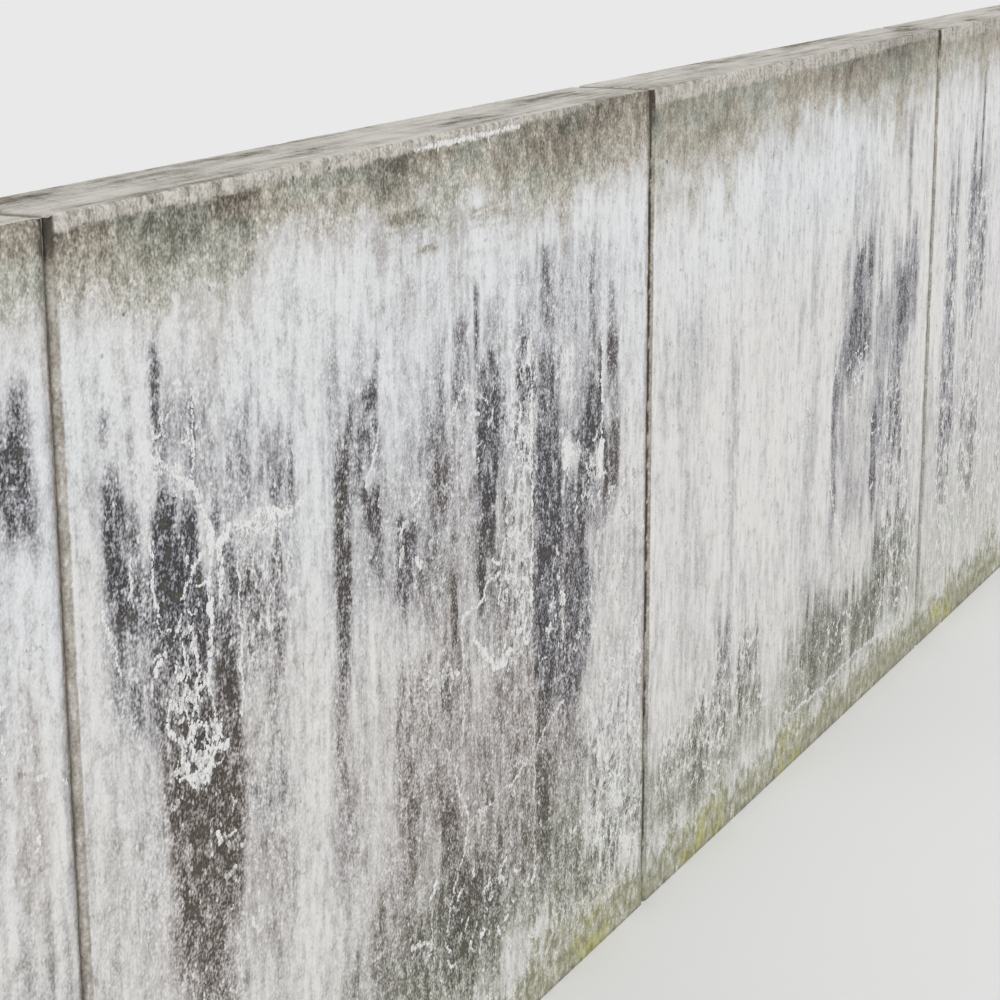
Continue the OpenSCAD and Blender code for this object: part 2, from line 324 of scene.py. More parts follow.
# How tall the pale washed band above the soot is and how strong, as (across, height, strength).
BANDS = {
    "panel_2": [(0.0, 0.03, 1.0), (1.9, 0.03, 1.0), (2.2, 0.02, 0.3), (2.5, 0.004, 0.0)],
    "panel_3": [
        (0.0, 0.029, 1.0), (1.73, 0.028, 1.0), (1.735, 0.02, 0.9), (1.95, 0.016, 0.7),
        (2.15, 0.01, 0.4), (2.25, 0.004, 0.0), (2.5, 0.0, 0.0),
    ],
    "panel_4": [
        (0.0, 0.044, 1.0), (1.3, 0.038, 0.9), (1.75, 0.035, 0.8), (2.0, 0.026, 0.6), (2.5, 0.02, 0.4),
    ],
    "panel_5": [
        (0.0, 0.05, 0.9), (0.45, 0.045, 0.8), (0.6, 0.04, 0.3), (0.75, 0.04, 0.8), (2.5, 0.03, 0.9),
    ],
}
PLAIN_BAND = [(0.0, 0.032, 0.9), (1.0, 0.028, 0.8), (2.5, 0.036, 0.9)]

# Where the moss at the foot is a bright yellow-green, as (left, right).
BRIGHT_MOSS = {"panel_3": [(1.98, 2.36)], "panel_4": [(0.2, 0.64), (1.0, 1.3)], "panel_5": [(0.1, 0.5)]}
SOME_MOSS = [(0.7, 1.0)]


def drawn_marks(seed, count=11):
    """Marks for a face that nobody has seen: evenly spread, then shifted and sized at random."""
    rng = np.random.default_rng(seed)
    marks = [(0.0, BAY, 1.1, 2.2, 0.2, 0.5)]
    for k in range(count):
        middle = (k + rng.uniform(0.1, 0.9)) * BAY / count
        width = rng.uniform(0.05, 0.30)
        start = rng.uniform(0.28, 0.75)
        end = start + rng.uniform(0.4, 1.1)
        strength = rng.uniform(0.35, 0.8)
        brownness = rng.uniform(0.0, 0.8)
        marks.append((middle - width / 2, middle + width / 2, start, end, strength, brownness))
    return marks


def mark_field(across, down, mark, seed):
    """How strongly one mark shows at each point: a soft box whose upper and lower ends are drawn
    out into fingers by narrow random columns, and whose inside is patchy and slit by clean runs."""
    left, right, start, end, strength, _ = mark
    width = right - left
    shifted = across + (clouds(across, down, 0.06, 0.30, seed, 2) - 0.5) * min(0.05, 0.5 * width)
    soft = min(0.008 + 0.12 * width, 0.06)
    body = smooth(left - soft, left + soft, shifted) * (1 - smooth(right - soft, right + soft, shifted))
    reach = min(end - start, 0.9)
    fingers = clouds(across, down, 0.024, 0.7, seed + 1, 2) - 0.5
    ragged = min(0.62, 0.25 + 2.0 * width)
    upper = start + 0.10 * reach + fingers * ragged * reach
    lower = end - (clouds(across, down, 0.040, 0.8, seed + 2, 2) - 0.5) * 0.5 * reach
    body = body * smooth(upper - 0.08 * reach, upper + 0.16 * reach, down)
    body = body * (1 - smooth(lower - 0.32 * reach, lower + 0.10 * reach, down))
    patches = 0.70 + 0.36 * smooth(0.34, 0.64, clouds(across, down, 0.045, 0.09, seed + 3))
    slits = 1 - 0.25 * smooth(0.55, 0.80, clouds(across, down, 0.020, 0.25, seed + 4, 2))
    return np.minimum(0.98, np.abs(strength) * body * patches * slits)


def boxed(across, down, boxes, soft):
    """One inside any of the boxes and nought outside, blurred over a soft margin."""
    inside = 0.0 * (across + down)
    for left, right, start, end in boxes:
        box = smooth(left - soft, left + soft, across)
        box = box * (1 - smooth(right - soft, right + soft, across))
        inside = np.maximum(inside, box * smooth(start - soft, start + soft, down)
                            * (1 - smooth(end - soft, end + soft, down)))
    return inside


def weather_face(across, down, marks, grime, strokes, laces, mossy, seed):
    """Growth, brownness, moss, lace, warmth, grit, bright moss, soot and algae for points of an
    upright face."""

    def cloudy(size_across, size_down, offset, octaves=3):
        """Clouds on this face, each use with a seed of its own."""
        return clouds(across, down, size_across, size_down, seed + offset, octaves)

    # the marks, one over another, and the runs of clean water between them
    clean = np.ones(np.broadcast(across, down).shape)
    brown = np.zeros_like(clean)
    weight = np.full_like(clean, 1e-3)
    cleared = np.ones_like(clean)
    for k, mark in enumerate(marks):
        field = mark_field(across, down, mark, seed + 17 * k)
        if mark[4] < 0:
            cleared = cleared * (1 - field)
        else:
            clean = clean * (1 - field)
            brown = brown + field * mark[5]
            weight = weight + field
    streaked = (1 - clean) * cleared
    faint = 0.10 * smooth(0.45, 0.75, cloudy(0.05, 0.8, 900))
    faint = faint + 0.09 * smooth(0.40, 0.75, cloudy(0.035, 0.07, 901))
    streaked = streaked + (1 - streaked) * faint * (0.4 + 0.6 * cleared)

    # lime lace opens up the growth
    lace = smooth(0.40, 0.60, cloudy(0.12, 0.25, 905))
    lace = np.maximum(0.45 * lace, boxed(across, down, laces, 0.05))
    lace = lace * smooth(0.15, 0.40, streaked) * smooth(0.20, 0.32, down)
    net = 1 - smooth(0.01, 0.085, np.abs(cloudy(0.045, 0.075, 909, 2) - 0.5))
    streaked = streaked * (1 - 0.55 * net * lace)

    # soot below the top edge, and the float's strokes
    edge, strength, reach, tint = np.array(grime).T
    reach = np.interp(across, edge, reach) * (0.55 + 0.9 * cloudy(0.09, 0.16, 910))
    soot = np.interp(across, edge, strength) * (1 - smooth(0.0, 1.9, down / reach))
    soot = soot * (0.58 + 0.76 * cloudy(0.035, 0.045, 911))
    for left, right, start, end, strength in strokes:
        box = smooth(left, left + 0.10, across) * (1 - smooth(right - 0.16, right, across))
        box = box * smooth(start, start + 0.03, down) * (1 - smooth(end - 0.05, end, down))
        tilted = down - 0.10 * (across - left)
        hairs = smooth(0.40, 0.66, clouds(across, tilted, 0.22, 0.018, seed + 912))
        soot = np.maximum(soot, strength * box * hairs)
    growth = 1 - (1 - streaked) * (1 - soot)
    brown = (brown + 4 * soot * np.interp(across, edge, tint)) / (weight + 4 * soot)

    # damp, moss and algae climb from the foot
    climb = WALL_HEIGHT - down
    damp = 0.03 + 0.34 * cloudy(0.10, 0.20, 903)
    moss = 1 - smooth(damp * 0.15, damp * 1.3, climb)
    growth = np.maximum(growth, moss * (0.26 + 0.60 * cloudy(0.06, 0.05, 907)))
    bright = np.zeros_like(clean)
    for left, right in mossy:
        bright = bright + smooth(left, left + 0.12, across) * (1 - smooth(right - 0.12, right, across))
    bright = bright * (1 - smooth(0.04, 0.20, climb))
    bright = bright * smooth(0.30, 0.60, cloudy(0.06, 0.05, 904))
    warmth = cloudy(0.8, 0.8, 906) + 0.60 * smooth(0.40, 1.1, down) - 0.10
    algae = smooth(0.72, 0.22, climb + 0.3 * (cloudy(0.20, 0.20, 908) - 0.5))
    sooty = smooth(0.0, 0.3, soot)
    algae = np.maximum(algae, 0.9 * sooty * smooth(0.46, 0.66, cloudy(0.20, 0.10, 913)))
    grit = 0.26 + 0.74 * smooth(0.08, 0.80, streaked + 0.5 * moss)
    grit = np.maximum(grit * (1 - sooty), 0.60 * sooty)
    warmth = smooth(0.2, 0.9, warmth)
    return growth, brown, moss, lace, warmth, grit, bright, smooth(0.04, 0.48, soot), algae


def skin_depth(x, girth, seed):
    """How far the worn skin lies behind the mould's flat face: broad waves and small hollows."""
    waves = 0.0014 * clouds(x, girth, 0.60, 0.60, seed + 53)
    return SKIN_DEPTH + waves + 0.0006 * clouds(x, girth, 0.03, 0.03, seed + 54)


def steps(length, coarse, fine, reach):
    """Stations from nought to length, coarse apart, closing up to fine over a reach at the end."""
    back = [0.0]
    while back[-1] < length:
        back.append(back[-1] + fine + (coarse - fine) * min(1.0, back[-1] / reach))
    back = np.array(back) * length / back[-1]
    return length - back[::-1]


def panel_seed(name):
    """The seed from which one panel's noise is drawn."""
    return 1000 * (PANELS.index(name) + 1)


def casting_section(half, top, row):
    """Stations round a casting: up the front, over the arrises and the top, down the back and along
    the foot. Returns their Y and Z, and the part that each one starts."""
    shoulder = top - TOP_ARRIS
    inner = half - TOP_ARRIS
    plain = shoulder - FINE_ZONE
    rows = int(plain / row)
    lower = np.arange(rows) * plain / rows
    face = np.concatenate([lower, plain + steps(FINE_ZONE, 0.5 * row, 0.0025, 0.05)[:-1]])
    arris = np.array([0.0, 0.25, 0.5, 0.75])
    flat = steps(1.0, 0.16, 0.02, 0.4)
    crown = np.concatenate([-flat[::-1], flat[1:-1]])
    back = steps(shoulder, 0.034, 0.003, 0.10)[::-1][:-1]
    foot = np.array([1.0, 0.5, 0.0, -0.5])
    y = np.concatenate([np.full(face.shape, -half), -half + TOP_ARRIS * arris, crown * inner,
                        inner + TOP_ARRIS * arris, np.full(back.shape, half), foot * half])
    z = np.concatenate([face, shoulder + TOP_ARRIS * arris, np.full(crown.shape, top),
                        top - TOP_ARRIS * arris, back, np.zeros(foot.shape)])
    lengths = [len(stations) for stations in (face, arris, crown, arris, back, foot)]
    return y, z, np.repeat(np.arange(len(lengths)), lengths)


def inwards_and_nearness(y, z, part):
    """The unit way inwards from each station, and how far it lies from the middle of an arris."""
    inward = np.array(INWARDS, float)[part]
    inward = (inward + np.roll(inward, 1, axis=0)) / 2
    inward[part == FOOT] = 0
    inward[0] = INWARDS[FRONT]
    inward /= np.maximum(1e-9, np.hypot(inward[:, 0], inward[:, 1]))[:, None]
    path = np.concatenate([[0.0], np.cumsum(np.hypot(np.diff(y), np.diff(z)))])
    starts = [path[np.argmax(part == arris)] for arris in (FRONT_ARRIS, BACK_ARRIS)]
    return inward, np.min([np.abs(path - start - TOP_ARRIS / 2) for start in starts], axis=0)


def worn_skin(xs, y, z, part, low, high, seed):
    """The cross-section carried along the panel, each point drawn in by the rounding and the chips
    of the edges, by small waves and by the end fillets, and never outwards: its X, Y and Z, and how
    far it is from the panel's nearer end."""
    inward, near = inwards_and_nearness(y, z, part)
    X = xs[:, None] + 0 * y[None, :]
    Y = 0 * X + y[None, :]
    Z = 0 * X + z[None, :]
    girth = Z + Y
    end = np.minimum(X - low[0], high[0] - X)
    chips = smooth(0.64, 0.78, clouds(X, girth, 0.035, 0.035, seed + 50))
    wear = 0.0006 + 0.0010 * clouds(X, girth, 0.12, 0.12, seed + 51) + 0.0028 * chips
    rounding = wear * (1 - smooth(0.0, 0.009, near))[None, :]
    chips_end = smooth(0.62, 0.80, clouds(X, girth, 0.05, 0.08, seed + 52))
    end_wear = 0.0008 + 0.004 * chips_end
    rounding = rounding + end_wear * smooth(0.012, 0.0, np.abs(end - END_FILLET))
    corner = smooth(0.030, 0.0, end) * smooth(0.030, 0.0, high[2] - Z)
    rounding = rounding + 0.007 * corner * (0.2 + clouds(X, Z, 0.02, 0.02, seed + 55))
    depth = skin_depth(X, girth, seed) + rounding
    side = np.where(part == FOOT, 0.0, 1.0)[None, :]
    Y = Y + depth * inward[None, :, 0] * side
    Z = Z + depth * inward[None, :, 1] * side
    limit = (high[1] - low[1]) / 2 - np.maximum(0.0, END_FILLET - end)
    return X, np.clip(Y, -limit, limit), Z, end


def casting_mesh(name, X, Y, Z):
    """A closed mesh: quads between neighbouring columns and stations, and a flat cap at each end."""
    columns, rows = X.shape
    points = np.stack([X, Y, Z], -1).reshape(-1, 3)
    i, j = np.meshgrid(np.arange(columns - 1), np.arange(rows), indexing="ij")
    k = (j + 1) % rows
    quads = np.stack([i * rows + j, (i + 1) * rows + j, (i + 1) * rows + k, i * rows + k], -1)
    corners = quads.size
    left_cap = np.arange(rows)
    right_cap = np.arange(rows)[::-1] + (columns - 1) * rows
    loops = np.concatenate([quads.ravel(), left_cap, right_cap])
    starts = np.concatenate([np.arange(0, corners, 4), [corners, corners + rows]])
    rounded = np.ones(len(starts), bool)
    rounded[-2:] = False

    mesh = bpy.data.meshes.new(name)
    mesh.vertices.add(len(points))
    mesh.vertices.foreach_set("co", points.ravel())
    mesh.loops.add(len(loops))
    mesh.loops.foreach_set("vertex_index", loops.astype(np.int32))
    mesh.polygons.add(len(starts))
    mesh.polygons.foreach_set("loop_start", starts.astype(np.int32))
    mesh.polygons.foreach_set("use_smooth", rounded)
    mesh.update(calc_edges=True)
    return mesh


def weather_layers(name, X, Y, Z, end, part, low, high, seed):
    """What covers each point of a panel's skin: the weather of its front or its back, then the
    growth on the fillets, with painted light and shade at the bottom of each groove, the washed band
    under the top edge, and the top itself."""
    across = X - low[0]
    down = high[2] - Z
    marks = MARKS.get(name) or drawn_marks(seed)
    front = weather_face(across, down, marks, GRIME.get(name, PLAIN_GRIME), STROKES.get(name, []),
                         LACES.get(name, []), BRIGHT_MOSS.get(name, SOME_MOSS), seed)
    rear = weather_face(across, down, drawn_marks(seed + 500), PLAIN_GRIME, [], [], SOME_MOSS,
                        seed + 5000)
    is_rear = np.isin(part, (BACK_ARRIS, BACK))[None, :]
    layers = [np.where(is_rear, r, f) for f, r in zip(front, rear)]
    growth, brown, moss, lace, warmth, grit, bright, soot, algae = layers

    # the fillets at both ends, darker by the top and towards the panel's right end, where a darker halo
    # also runs down the face beside the end
    ragged = 0.012 * clouds(across, down, 0.012, 0.05, seed + 64)
    towards_right_end = smooth(-1.0, 1.0, (X - (low[0] + high[0]) / 2) / 0.1)
    halo = 0.30 * towards_right_end * (1 - smooth(0.012, 0.034, end - ragged))
    growth = np.minimum(growth + (1 - growth) * halo, DEEPEST.get(name, PLAIN_DEEPEST))
    grit = grit * np.interp(across, [0.0, BAY], SANDY.get(name, PLAIN_SANDY))
    edge = 1 - smooth(0.0125, 0.0155, end - 0.2 * ragged)
    fillet, gap_shade = SEAM.get(name, PLAIN_SEAM)
    by_top = 1 - smooth(0.03, 0.16, down + 0.08 * clouds(across, down, 0.02, 0.03, seed + 68))
    fillet_growth_and_painted_light = fillet + 0.22 * clouds(across, down, 0.02, 0.05, seed + 61) + 0.24 * towards_right_end
    # near the bottom of the groove the fillet is painted lighter: painted light that offsets the shade
    # the groove casts
    fillet_growth_and_painted_light = fillet_growth_and_painted_light - 0.14 * (1 - smooth(0.0, 0.012, end)) + 0.75 * by_top
    # a jagged line at the very bottom of each groove, and the flat end face inside the gap, are painted
    # near-black: painted shade of the gap between the panels, darker still by the top
    jagged = 0.0005 + 0.0045 * clouds(across, down, 0.02, 0.02, seed + 66)
    gap_shade = (gap_shade + 0.6 * by_top) * (1 - smooth(jagged, jagged + 0.001, end))
    growth = growth * (1 - edge) + edge * np.minimum(fillet_growth_and_painted_light + gap_shade, 1.15)
    grit = np.where(edge > 0.5, 0.35, grit)
    soot = np.maximum(soot, 0.55 * edge)
    brown = np.maximum(brown, 0.85 * np.maximum(edge, halo))

    # the washed band, its lower edge uneven and its paleness patchy
    place, tall, pale = np.array(BANDS.get(name, PLAIN_BAND)).T
    height = np.interp(across, place, tall)
    height = height + 0.012 * (clouds(across, down, 0.05, 0.03, seed + 60) - 0.5)
    washed = (1 - smooth(height - 0.003, height + 0.006, down)) * np.interp(across, place, pale)
    washed = washed * (1 - 0.35 * smooth(0.5, 0.8, clouds(across, down, 0.03, 0.10, seed + 67)))
    washed = washed * (1 - edge)

    # the top, darker by the joints and along its rims
    crown_zone = np.where(part == CROWN, 1.0, 0.0)[None, :] + 0 * X
    by_joint = 1 - smooth(0.006, 0.045, end + 0.03 * clouds(X, Y, 0.03, 0.03, seed + 62))
    rims = 0.5 * smooth(0.55, 0.75, clouds(X, Y, 0.20, 0.05, seed + 63))
    growth = np.where(crown_zone > 0, np.maximum(by_joint, rims), growth)
    return {"weather": (growth, brown, moss, lace), "zones": (washed, crown_zone, warmth, grit),
            "tints": (bright, soot, algae, 0)}


def build_panel(name, column, seed):
    """One casting's skin as a mesh in its place, with its weather as three colour attributes."""
    low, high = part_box(name)
    middle = (low[0] + high[0]) / 2
    run = steps((high[0] - low[0]) / 2, column, 0.003, 0.05)
    xs = np.concatenate([middle - run[::-1], middle + run[1:]])
    y, z, part = casting_section((high[1] - low[1]) / 2, high[2], max(0.014, 1.2 * column))
    X, Y, Z, end = worn_skin(xs, y, z, part, low, high, seed)
    mesh = casting_mesh(name + "_casting", X, Y, Z)
    for label, layers in weather_layers(name, X, Y, Z, end, part, low, high, seed).items():
        values = np.stack([layer + 0 * X for layer in layers], -1).astype(np.float32)
        mesh.attributes.new(label, "FLOAT_COLOR", "POINT").data.foreach_set("color", values.ravel())
    return placed(name + "_casting", mesh)


def add(tree, kind, inputs=None, **settings):
    """Adds a node: settings are its properties, and inputs are values or the sockets to link."""
    made = tree.nodes.new(kind)
    for key, value in settings.items():
        setattr(made, key, value)
    for key, value in (inputs or {}).items():
        if isinstance(value, bpy.types.NodeSocket):
            tree.links.new(value, made.inputs[key])
        else:
            made.inputs[key].default_value = value
    return made


def math_node(tree, operation, *values):
    """One Math node; returns its output socket."""
    return add(tree, "ShaderNodeMath", dict(enumerate(values)), operation=operation).outputs[0]


def weighted(tree, value, weight, rest):
    """The value times its weight, added to the rest."""
    return math_node(tree, "MULTIPLY_ADD", value, weight, rest)


def ramp(tree, value, low, high, out_low=0.0, out_high=1.0):
    """A smooth Map Range from low..high to out_low..out_high."""
    made = add(tree, "ShaderNodeMapRange", {"Value": value, "From Min": low, "From Max": high,
                                            "To Min": out_low, "To Max": out_high},
               interpolation_type="SMOOTHSTEP")
    return made.outputs["Result"]


def mixed(tree, factor, a, b):
    """Mixes two colours; returns the colour socket."""
    made = add(tree, "ShaderNodeMix", {0: factor, 6: a, 7: b}, data_type="RGBA")
    return made.outputs[2]


def channels(tree, colour):
    """The red, green and blue of a colour socket, as three sockets."""
    return add(tree, "ShaderNodeSeparateColor", {"Color": colour}).outputs


def scaled(tree, place, scale):
    """Coordinates multiplied by scale along X, Y and Z."""
    return add(tree, "ShaderNodeMapping", {"Vector": place, "Scale": scale}).outputs[0]


def vector_node(tree, operation, a, b):
    """One Vector Math node; returns its output socket."""
    return add(tree, "ShaderNodeVectorMath", {0: a, 1: b}, operation=operation).outputs[0]


def stretched_noise(tree, place, scale, size, detail, roughness):
    """Noise on coordinates multiplied by scale along X, Y and Z."""
    inputs = {"Vector": scaled(tree, place, scale), "Scale": size, "Detail": detail,
              "Roughness": roughness}
    return add(tree, "ShaderNodeTexNoise", inputs).outputs["Fac"]


GRAIN = ("Speckle", "Runs", "Blotches", "Specks", "Crackle", "Pits")


def make_grain_group():
    """Speckle, short runs and blotches, each a value around nought, specks above nought for grains
    of lime and below it for dirt, then crackle and blowholes from 0 to 1. The concrete, the lime and
    the joint fillings share it."""
    group = bpy.data.node_groups.new("concrete_grain", "ShaderNodeTree")
    group.interface.new_socket("Place", in_out="INPUT", socket_type="NodeSocketVector")
    for label in GRAIN:
        group.interface.new_socket(label, in_out="OUTPUT", socket_type="NodeSocketFloat")
    place = group.nodes.new("NodeGroupInput").outputs["Place"]
    sink = group.nodes.new("NodeGroupOutput")
    speckle = stretched_noise(group, place, (1.0, 1.0, 0.80), 165.0, 2.0, 0.6)
    runs = stretched_noise(group, place, (1.0, 1.0, 0.16), 60.0, 2.0, 0.6)
    blotches = stretched_noise(group, place, (1.0, 1.0, 0.72), 38.0, 3.0, 0.55)
    for label, noise in (("Speckle", speckle), ("Runs", runs), ("Blotches", blotches)):
        group.links.new(ramp(group, noise, 0.28, 0.72, -1.0, 1.0), sink.inputs[label])
    # specks are small round cells, some lime and some dirt, each with its own size
    shake = vector_node(group, "MULTIPLY", place, (1.0, 1.0, 0.8))
    dots = add(group, "ShaderNodeTexVoronoi", {"Vector": shake, "Scale": 88.0}).outputs
    chance = channels(group, dots["Color"])
    lime_size = ramp(group, chance[0], 0.35, 1.0, 0.0, 0.52)
    dirt_size = ramp(group, chance[1], 0.82, 1.0, 0.0, 0.40)
    lime = ramp(group, math_node(group, "SUBTRACT", lime_size, dots["Distance"]), 0.0, 0.22)
    dirt = ramp(group, math_node(group, "SUBTRACT", dirt_size, dots["Distance"]), 0.0, 0.22)
    group.links.new(math_node(group, "SUBTRACT", lime, dirt), sink.inputs["Specks"])
    # crackle runs along the edges of warped, upright cells, and fades in and out
    bend = add(group, "ShaderNodeTexNoise", {"Vector": place, "Scale": 60.0, "Detail": 2.0})
    shift = vector_node(group, "SUBTRACT", bend.outputs["Color"], (0.5, 0.5, 0.5))
    shift = vector_node(group, "MULTIPLY", shift, (0.03, 0.03, 0.03))
    upright = scaled(group, vector_node(group, "ADD", place, shift), (1.0, 1.0, 0.45))
    cells = add(group, "ShaderNodeTexVoronoi", {"Vector": upright, "Scale": 30.0},
                feature="DISTANCE_TO_EDGE")
    thread = ramp(group, cells.outputs["Distance"], 0.02, 0.19, 1.0, 0.0)
    fading = ramp(group, blotches, 0.40, 0.60)
    group.links.new(math_node(group, "MULTIPLY", thread, fading), sink.inputs["Crackle"])
    # blowholes sit in a few of the cells only, and each has its own size
    holes = add(group, "ShaderNodeTexVoronoi", {"Vector": place, "Scale": 30.0}).outputs
    size = ramp(group, channels(group, holes["Color"])[0], 0.84, 1.0, 0.0, 0.16)
    group.links.new(math_node(group, "LESS_THAN", holes["Distance"], size), sink.inputs["Pits"])
    return group


concrete_grain = make_grain_group()


def grain_at_object(tree):
    """The grain group on the object's own coordinates; returns the place and a socket by name."""
    place = add(tree, "ShaderNodeTexCoord").outputs["Object"]
    grain = add(tree, "ShaderNodeGroup", node_tree=concrete_grain)
    tree.links.new(place, grain.inputs["Place"])
    return place, grain.outputs


def new_material(label, roughness, specular=0.5):
    """A material with its node tree and its shader, whose gloss is the same all over."""
    material = bpy.data.materials.new(label)
    material.use_nodes = True
    shader = material.node_tree.nodes["Principled BSDF"]
    shader.inputs["Roughness"].default_value = roughness
    shader.inputs["Specular IOR Level"].default_value = specular
    return material, material.node_tree, shader


def roughen(tree, shader, height, strength, distance):
    """Bumps a shader's surface by a height."""
    bump = add(tree, "ShaderNodeBump", {"Height": height, "Strength": strength, "Distance": distance})
    tree.links.new(bump.outputs["Normal"], shader.inputs["Normal"])


CLEAN_WHITE = (0.724, 0.740, 0.751, 1)
CLEAN_WARM = (0.712, 0.704, 0.686, 1)
SOOTY_PALE = (0.660, 0.635, 0.565, 1)
COOL_MIDDLE = (0.340, 0.338, 0.360, 1)
BROWN_MIDDLE = (0.350, 0.320, 0.305, 1)
SOOTY_MIDDLE = (0.345, 0.315, 0.258, 1)
ALGAE_MIDDLE = (0.330, 0.332, 0.285, 1)
COOL_DARK = (0.048, 0.045, 0.052, 1)
DEEP_BLACK = (0.011, 0.010, 0.011, 1)
BROWN_DARK = (0.082, 0.066, 0.053, 1)
ALGAE_DARK = (0.092, 0.092, 0.070, 1)
MOSS_GREY = (0.370, 0.360, 0.255, 1)
MOSS_BRIGHT = (0.430, 0.415, 0.165, 1)
MOSS_DARK = (0.150, 0.145, 0.085, 1)
WASHED = (0.60, 0.57, 0.52, 1)
WASHED_DARK = (0.30, 0.28, 0.25, 1)
CROWN_PALE = (0.60, 0.575, 0.53, 1)
CROWN_BEIGE = (0.42, 0.405, 0.365, 1)
CROWN_DARK = (0.15, 0.13, 0.10, 1)
PIT_DARK = (0.09, 0.08, 0.07, 1)


def make_concrete():
    """Weathered concrete. The mesh says where growth, moss and lime lie, and the grain decides
    which specks of sand they cover there."""
    material, tree, shader = new_material("weathered_concrete", 0.92, 0.25)
    place, grain = grain_at_object(tree)
    weather = add(tree, "ShaderNodeAttribute", attribute_name="weather").outputs
    zones = add(tree, "ShaderNodeAttribute", attribute_name="zones").outputs
    tints = add(tree, "ShaderNodeAttribute", attribute_name="tints").outputs
    growth, brown, moss = channels(tree, weather["Color"])
    washed, crown, warmth = channels(tree, zones["Color"])
    bright, soot, algae = channels(tree, tints["Color"])
    lace, grit = weather["Alpha"], zones["Alpha"]

    def grained(amount, strength, speck, run, blotch, dot):
        """An amount of growth, broken up by each kind of grain, all as strongly as strength says."""
        total = math_node(tree, "MULTIPLY", grain["Speckle"], speck)
        total = weighted(tree, grain["Runs"], run, total)
        total = weighted(tree, grain["Blotches"], blotch, total)
        total = weighted(tree, grain["Specks"], -dot, total)
        return weighted(tree, total, strength, amount)

    def toned(depth, pale, middle, dark):
        """The colour at a depth of growth: pale, then middle, then dark, then nearly black."""
        colour = mixed(tree, ramp(tree, depth, -0.12, 0.60), pale, middle)
        colour = mixed(tree, ramp(tree, depth, 0.38, 1.04), colour, dark)
        return mixed(tree, ramp(tree, depth, 0.84, 1.64), colour, DEEP_BLACK)

    # growth, in tones that turn brown, sooty or green
    pale = mixed(tree, soot, mixed(tree, warmth, CLEAN_WHITE, CLEAN_WARM), SOOTY_PALE)
    brown = ramp(tree, brown, 0.0, 0.9)
    middle = mixed(tree, soot, mixed(tree, brown, COOL_MIDDLE, BROWN_MIDDLE), SOOTY_MIDDLE)
    middle = mixed(tree, algae, middle, ALGAE_MIDDLE)
    dark = mixed(tree, algae, mixed(tree, brown, COOL_DARK, BROWN_DARK), ALGAE_DARK)
    mould = weighted(tree, moss, 0.20, 0.30)
    depth = grained(growth, grit, 0.37, 0.0, mould, 0.45)
    depth = weighted(tree, grain["Runs"], ramp(tree, soot, 0.0, 0.4, 0.10, 0.0), depth)
    threads = math_node(tree, "MULTIPLY", grain["Crackle"], lace)
    depth = weighted(tree, threads, -0.6, depth)
    colour = toned(depth, pale, middle, dark)

    # moss, the washed band, and the top with the streaks of the trowel that closed the mould
    green = mixed(tree, bright, MOSS_GREY, MOSS_BRIGHT)
    tufts = weighted(tree, grain["Speckle"], 0.4, grain["Blotches"])
    green = mixed(tree, ramp(tree, tufts, -0.1, 1.1, 0.0, 0.65), green, MOSS_DARK)
    sprouting = grained(weighted(tree, bright, 0.4, moss), 1.0, 0.20, 0.10, 0.46, 0.2)
    colour = mixed(tree, ramp(tree, sprouting, 0.1, 1.3, 0.0, 0.85), colour, green)
    wash = toned(grained(0.22, 1.0, 0.24, 0.16, 0.18, 0.25), WASHED, WASHED_DARK, CROWN_DARK)
    colour = mixed(tree, washed, colour, wash)
    streaks = stretched_noise(tree, place, (0.06, 1.0, 1.0), 42.0, 3.0, 0.6)
    broad = stretched_noise(tree, place, (1.0, 2.5, 1.0), 2.2, 3.0, 0.55)
    trowelled = weighted(tree, ramp(tree, streaks, 0.3, 0.7, -1.0, 1.0), 0.26, 0.32)
    trowelled = weighted(tree, ramp(tree, broad, 0.3, 0.7, -1.0, 1.0), 0.26, trowelled)
    trowelled = grained(weighted(tree, growth, 0.70, trowelled), 0.6, 0.20, 0.0, 0.24, 0.24)
    trowelled = toned(trowelled, CROWN_PALE, CROWN_BEIGE, CROWN_DARK)
    colour = mixed(tree, ramp(tree, crown, 0.3, 0.7), colour, trowelled)

    # blowholes, darker where soot has filled them
    filled = math_node(tree, "MULTIPLY", grain["Pits"], ramp(tree, soot, 0.0, 0.5, 0.4, 0.8))
    tree.links.new(mixed(tree, filled, colour, PIT_DARK), shader.inputs["Base Color"])
    roughen(tree, shader, weighted(tree, grain["Pits"], -3.0, grain["Speckle"]), 0.6, 0.0008)
    return material


weathered_concrete = make_concrete()
for name in PANELS:
    panel = build_panel(name, PANEL_STEP.get(name, OTHER_STEP), panel_seed(name))
    panel.data.materials.append(weathered_concrete)
    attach(panel, "root")
    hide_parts(name)


# Lime crusts: water seeping through the concrete leaves raised threads of white lime on the road
# face, some in long wandering veins, many as short curls in patches over the dark growth.
VEIN_STEP = 0.003

# A crumb's middle stands out by the rise, and its rim (the foot) and its back (the root) lie inside
# the skin. Crumbs keep within the lengths given across and down, and behind the mould's flat face.
CRUST_RISE = 0.0007
CRUST_FOOT = -0.0004
CRUST_ROOT = -0.0012
CRUST_ACROSS = (0.018, 2.474)
CRUST_DOWN = (0.006, 2.21)
SKIN_CLEARANCE = 0.0001
CORNERS = 7

